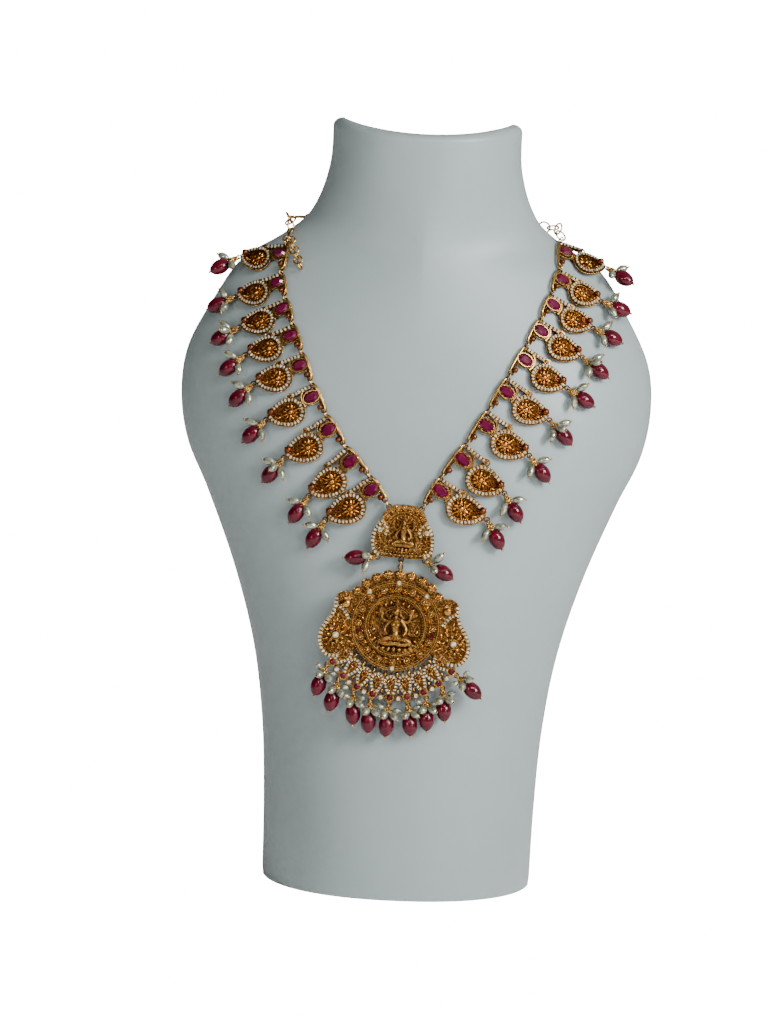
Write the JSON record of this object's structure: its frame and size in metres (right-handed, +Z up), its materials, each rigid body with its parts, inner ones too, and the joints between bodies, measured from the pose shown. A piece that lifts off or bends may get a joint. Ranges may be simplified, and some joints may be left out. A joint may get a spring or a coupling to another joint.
{
  "type": "temple jewellery necklace on a neck bust",
  "caption": "Long temple necklace: chains of mango-shaped units with ruby drops, an arched plaque and a round relief pendant with a drop fringe, laid over a plain half-shell neck bust.",
  "frame": {"origin": "middle of the front of the bust's base rim, on the surface that it stands on", "axes": "+X to the viewer's right across the shoulders, +Z up, -Y towards the viewer"},
  "size_m": [0.2, 0.0772, 0.325],
  "materials": {
    "gold": "antique matt gold",
    "ruby": "polished",
    "pearl": "pearly",
    "crystal": "polished",
    "resin": "satin"
  },
  "bodies": {
    "stand": {"display_bust": "resin", "unit_left_1": "gold", "unit_left_2": "gold", "unit_left_3": "gold", "unit_left_4": "gold", "unit_left_5": "gold", "unit_left_6": "gold", "unit_left_7": "gold", "unit_left_8": "gold", "unit_left_9": "gold", "unit_right_1": "gold", "unit_right_2": "gold", "unit_right_3": "gold", "unit_right_4": "gold", "unit_right_5": "gold", "unit_right_6": "gold", "unit_right_7": "gold", "unit_right_8": "gold", "unit_right_9": "gold", "ruby_left_1": "ruby", "ruby_left_2": "ruby", "ruby_left_3": "ruby", "ruby_left_4": "ruby", "ruby_left_5": "ruby", "ruby_left_6": "ruby", "ruby_left_7": "ruby", "ruby_left_8": "ruby", "ruby_left_9": "ruby", "ruby_right_1": "ruby", "ruby_right_2": "ruby", "ruby_right_3": "ruby", "ruby_right_4": "ruby", "ruby_right_5": "ruby", "ruby_right_6": "ruby", "ruby_right_7": "ruby", "ruby_right_8": "ruby", "ruby_right_9": "ruby", "chain_rings_left": "gold", "chain_rings_right": "gold", "drop_metal_left": "gold", "drop_metal_right": "gold", "drop_rubies_left": "ruby", "drop_rubies_right": "ruby", "drop_pearls_left": "pearl", "drop_pearls_right": "pearl", "plaque": "gold", "plaque_drop_metal": "gold", "plaque_drop_rubies": "ruby", "plaque_drop_pearls": "pearl", "pendant_link": "gold", "back_chain": "gold", "clasp_hook": "gold", "extender_chain": "gold"},
    "pendant": {"pendant_body": "gold", "pendant_white_stones": "crystal", "pendant_red_stones": "ruby", "fringe_metal": "gold", "fringe_rubies": "ruby", "fringe_pearls": "pearl"}
  },
  "joints": [
    {"name": "pendant_swing", "type": "hinge", "parent": "stand", "child": "pendant", "pos_m": [-0.00365, -0.00039, 0.14368], "axis": [-0.9991, 0, 0.0419], "range_deg": [0, 60]}
  ]
}
